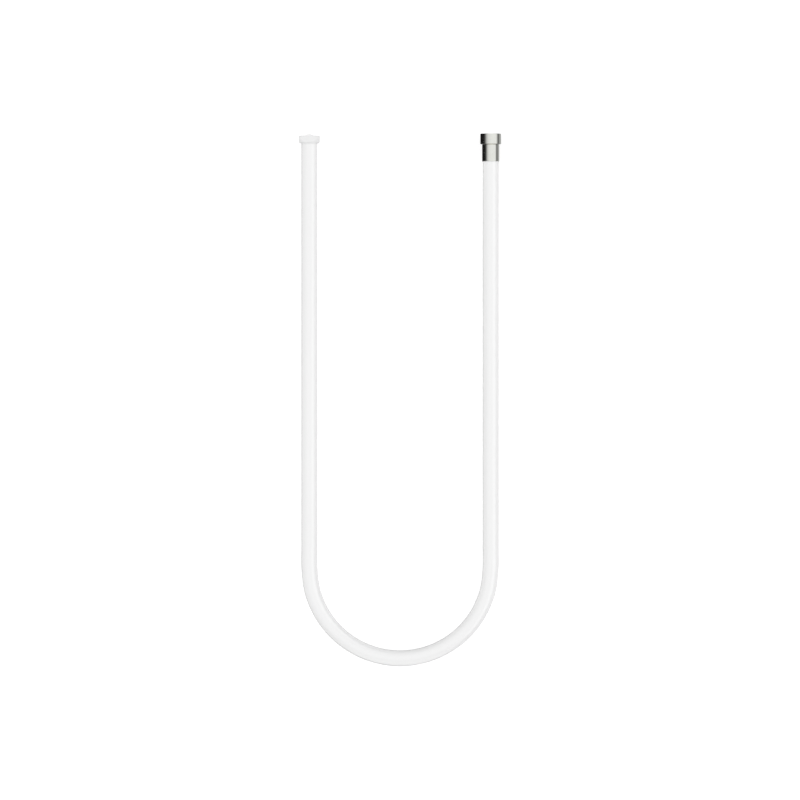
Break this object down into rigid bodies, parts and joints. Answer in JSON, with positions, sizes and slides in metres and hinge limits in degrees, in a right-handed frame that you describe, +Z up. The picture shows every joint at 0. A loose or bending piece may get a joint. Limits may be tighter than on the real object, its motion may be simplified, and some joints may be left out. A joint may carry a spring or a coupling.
{
  "type": "shower hose",
  "caption": "White shower hose laid flat in a U, with a round metal swivel nut and ferrule on one end and a short white swivel nut with a strainer washer on the other.",
  "frame": {"origin": "on the floor, under the middle of the object's box", "axes": "+Y along both legs towards the open end of the U and out of both mouths, +X towards the metal fitting, +Z up from the floor"},
  "size_m": [0.2262, 0.5958, 0.0232],
  "materials": {
    "hose_skin": "smooth satin white, extruded",
    "polished_metal": "polished, plated",
    "turned_brass": "turned",
    "white_plastic": "moulded, satin gloss",
    "strainer_plastic": "moulded, natural",
    "seal_rubber": "matt"
  },
  "bodies": {
    "hose": {"hose": "hose_skin", "ferrule": "polished_metal", "metal_tail": "turned_brass", "metal_end_washer": "seal_rubber", "white_tail": "white_plastic", "strainer_washer": "strainer_plastic"},
    "metal_nut": {"metal_nut": "polished_metal"},
    "white_nut": {"white_nut": "white_plastic"}
  },
  "joints": [
    {"name": "metal_nut_spin", "type": "hinge", "parent": "hose", "child": "metal_nut", "pos_m": [0.1015, 0.2979, 0.0116], "axis": [0, 1, 0], "continuous": true},
    {"name": "white_nut_spin", "type": "hinge", "parent": "hose", "child": "white_nut", "pos_m": [-0.1015, 0.2955, 0.0116], "axis": [0, 1, 0], "continuous": true}
  ]
}
